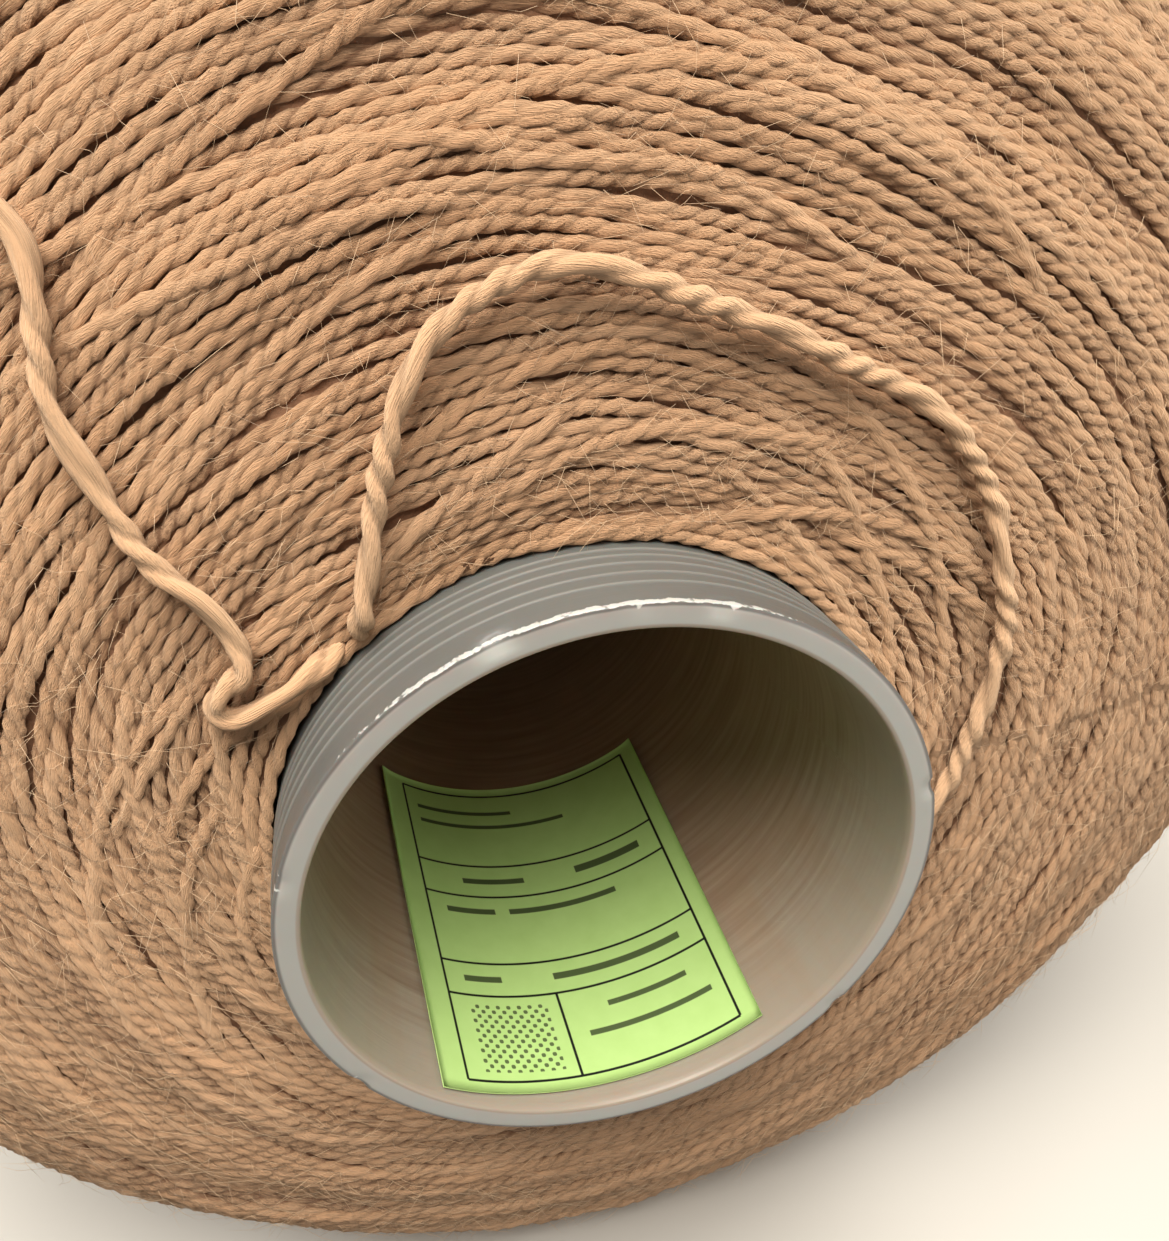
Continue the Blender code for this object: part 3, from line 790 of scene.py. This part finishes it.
# The flank: two families of lays that run opposite ways round the package at 16 degrees, as the
# traverse guide leads the yarn back and forth.
FLANK_LAYS = 76
FLANK_WIDTH = 1.9 * MM
FLANK_ANGLE = math.radians(16)
FLANK_FROM, FLANK_TO = 66 * MM, 188 * MM
for family, way in enumerate((1, -1)):
    flank = Lays()
    for lay in range(FLANK_LAYS):
        length = (FLANK_TO - FLANK_FROM) / math.sin(FLANK_ANGLE)
        t = np.linspace(0, 1, int(length / (4.0 * MM)))
        reach = FLANK_FROM + t * (FLANK_TO - FLANK_FROM)
        turn = t * length * math.cos(FLANK_ANGLE) / (89 * MM)
        azimuth = 2 * math.pi * (lay + rng.uniform(-0.12, 0.12)) / FLANK_LAYS + way * turn
        patch = np.sin(reach / (7.3 * MM) + 2 * azimuth) + 0.7 * np.sin(reach / (4.1 * MM) - 7 * azimuth)
        ends = np.clip(np.minimum(t, 1 - t) / 0.035, 0, 1)
        height = (-0.95 + 0.32 * way * patch) * MM - (1 - ends) * 1.2 * MM
        path = reach + 0.8 * MM * np.sin(t * 23 + rng.uniform(0, 6))
        flank.add(path, azimuth, height, rng.uniform(), 5, False, False, FLANK_WIDTH)
    flank.piece(f"flank_lays_{family + 1}", camel)


# The face at the small end, wound as the front face is.
nose_turns = Lays()
for reach in np.arange(182 * MM, REACH_END - 1.4 * MM, 1.72 * MM):
    radius = float(np.interp(reach, stations, outline_table[:, 1].mean(axis=0)))
    azimuth = np.linspace(0, 2 * math.pi, int(2 * math.pi * radius / (1.6 * MM)), endpoint=False)
    sway = 1.2 * np.sin(4 * azimuth + reach / (11 * MM)) + 0.6 * ripple(rng, azimuth, radius, 26 * MM, 60 * MM)
    free = min(1.0, (REACH_END - reach) / (8 * MM))
    height = (-0.75 + 0.25 * ripple(rng, azimuth, radius, 16 * MM, 40 * MM)) * MM
    path = np.minimum(reach + free * sway * MM, REACH_END - 1.3 * MM)
    nose_turns.add(path, azimuth, height, rng.uniform(), 6, True, False, 1.9 * MM)
nose_turns.piece("nose_turns", camel)


# The loose yarn: the same two plies, not pressed flat, so they lie looser and catch more light; their
# wool is painted lighter than the wound turns' as painted light. One length arches over the mouth from
# crevice to crevice; the other hooks beside the tube and runs off over the shoulder to the outermost turns.
STRAND_WIDTH = 2.2 * MM
LOOP_ROUTE = (
    (1.1, 129.0, 1.7), (6.6, 119.6, 1.7), (14.0, 111.2, 1.9), (17.3, 107.7, 2.0), (21.2, 102.2, 2.1),
    (23.3, 96.3, 2.1), (24.0, 91.3, 2.1), (23.1, 86.3, 2.1), (21.4, 78.9, 2.0), (20.4, 70.5, 1.9),
    (19.6, 62.3, 1.8), (19.9, 55.0, 1.8), (19.8, 48.2, 1.8), (18.0, 37.6, 1.9), (15.8, 29.9, 2.0),
    (14.3, 21.2, 2.0), (11.6, 11.0, 1.9), (9.5, 2.9, 1.8), (7.6, -6.0, 1.7), (4.6, -13.5, 1.7),
    (1.1, -21.5, 1.7),
)
TAIL_ROUTE = (
    (1.1, 132.0, 1.7), (3.4, 142.2, 1.7), (6.0, 148.7, 1.8), (8.2, 147.6, 1.9), (7.8, 145.0, 1.9),
    (7.4, 141.2, 1.8), (9.6, 138.5, 1.7), (13.8, 136.4, 1.7), (18.8, 135.7, 1.7), (24.9, 133.1, 1.8),
    (30.4, 130.8, 1.9), (35.0, 127.4, 1.8), (39.6, 124.6, 1.7), (43.0, 124.2, 1.7), (52.0, 125.2, 1.7),
    (62.0, 126.4, 1.7), (74.0, 125.6, 1.7), (86.0, 121.0, 1.7), (94.0, 112.0, 1.7), (98.0, 100.0, 1.7),
    (100.0, 88.0, 1.7),
)


def smooth_route(route, per_span=12):
    """A smooth curve through the route's points, by cubics whose slope at a point joins its neighbours."""
    knots = np.array(route) * (MM, math.pi / 180, MM)
    knots = np.vstack([2 * knots[0] - knots[1], knots, 2 * knots[-1] - knots[-2]])
    t = np.linspace(0, 1, per_span, endpoint=False)[:, None]
    spans = []
    for a, b, c, d in zip(knots[:-3], knots[1:-2], knots[2:-1], knots[3:]):
        spans.append(0.5 * (2 * b + (c - a) * t + (2 * a - 5 * b + 4 * c - d) * t**2
                            + (3 * b - a - 3 * c + d) * t**3))
    return np.vstack([*spans, knots[-2:-1]])


def evened(values):
    """A row of points, each the mean of seven neighbours weighted by a triangle, its ends kept."""
    padded = np.pad(values, ((3, 3), (0, 0)), mode="reflect", reflect_type="odd")
    return np.stack([np.convolve(column, np.array([1, 2, 3, 4, 3, 2, 1]) / 16, "valid")
                     for column in padded.T], axis=1)


def loose_strand(name, route, node, tone, pitch):
    """A loose strand as one twisted surface with closed ends."""
    reach, azimuth, height = smooth_route(route).T
    dive = np.clip(1 - reach / (3.2 * MM), 0, 1)
    tuck = np.clip((np.arange(len(reach)) - len(reach) + 30) / 30, 0, 1) if node == "tail_end" else 0
    height = height - 5.2 * MM * dive**1.5 - 4.0 * MM * tuck**2
    line, normal = over_yarn(reach, azimuth, height)
    along = np.concatenate([[0], np.cumsum(np.linalg.norm(np.diff(line, axis=0), axis=1))])
    even = np.linspace(0, along[-1], int(along[-1] / (0.36 * MM)))
    line = np.stack([np.interp(even, along, line[:, k]) for k in range(3)], axis=1)
    normal = np.stack([np.interp(even, along, normal[:, k]) for k in range(3)], axis=1)
    line, normal = evened(line), evened(normal)
    points, strand, upwards = strand_grid(line, normal, STRAND_WIDTH, 14, pitch, False, waist=0.17)
    points = pointed(points, line)
    piece = mesh_piece(name, points.reshape(-1, 3), strand_faces(*upwards.shape, False), {
        "strand": strand.reshape(-1, 3),
        # Painted light: the top of a loose strand is coloured lighter and its underside darker.
        "crown": np.clip(0.72 + upwards.ravel() / STRAND_WIDTH * 0.6, 0, 1),
        "tone": np.full(upwards.size, tone),
    })
    piece.data.materials.append(loose_wool)
    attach(piece, "root")
    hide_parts(node)
    return line, normal


# Painted light: the same wool as the turns, coloured lighter because it catches more light.
loose_wool = wool("loose_wool", (0.64, 0.49, 0.37), (0.95, 0.80, 0.64), (0.98, 0.95, 0.92), 0.38)
loop_line, loop_normal = loose_strand("loose_loop", LOOP_ROUTE, "tail_loop", 0.2, 8.0 * MM)
tail_line, tail_normal = loose_strand("loose_end", TAIL_ROUTE, "tail_end", 0.4, 11.5 * MM)


# The fuzz: single wool hairs that stand off the turns, a few millimetres long.
HAIRS = 11800
hair_reach = np.where(rng.uniform(size=HAIRS) < 0.66, rng.uniform(1.5, 80, HAIRS),
                      rng.uniform(80, 240, HAIRS)) * MM
hair_azimuth = rng.uniform(0, 2 * math.pi, HAIRS)
root, normal = over_yarn(hair_reach, hair_azimuth, np.full(HAIRS, -0.2 * MM))
around = np.cross(INWARD, normal)
around /= np.linalg.norm(around, axis=1, keepdims=True)
lean = rng.normal(size=(HAIRS, 1)) * 0.7
sideways = around * rng.choice((-1, 1), (HAIRS, 1)) + np.cross(around, normal) * lean
sideways /= np.linalg.norm(sideways, axis=1, keepdims=True)
cross = np.cross(sideways, normal)
bend = cross * rng.uniform(-1.3, 1.3, (HAIRS, 1))
hair_length = (1.2 + rng.gamma(2.0, 1.1, (HAIRS, 1))) * MM
hair_length = np.minimum(hair_length, 7 * MM)
rise = rng.uniform(0.15, 0.60, (HAIRS, 1))
sections = []
for t, thick in ((0, 0.026), (0.55, 0.021)):
    middle = root + hair_length * (t * sideways + rise * t * (1 - 0.35 * t) * normal + bend * t * t)
    corners = [np.cos(a) * normal + np.sin(a) * cross for a in (0, 2 * math.pi / 3, 4 * math.pi / 3)]
    sections.extend([middle + c * thick * MM for c in corners])
sections.append(root + hair_length * (sideways + rise * 0.65 * normal + bend))
hair_points = grounded(np.stack(sections, axis=1), 0.1 * MM)
hair_faces = np.array([[0, 2, 1], [0, 1, 4], [0, 4, 3], [1, 2, 5], [1, 5, 4], [2, 0, 3], [2, 3, 5],
                       [3, 4, 6], [4, 5, 6], [5, 3, 6]])
offsets = np.arange(HAIRS)[:, None, None] * 7
fuzz = mesh_piece("fuzz", hair_points, (hair_faces[None] + offsets).reshape(-1, 3))
hair, shader, start = new_material("wool_hair", 0.8, Sheen_Weight=0.2)
shader.inputs["Base Color"].default_value = as_colour((0.96, 0.83, 0.67))
fuzz.data.materials.append(hair)
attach(fuzz, "root")
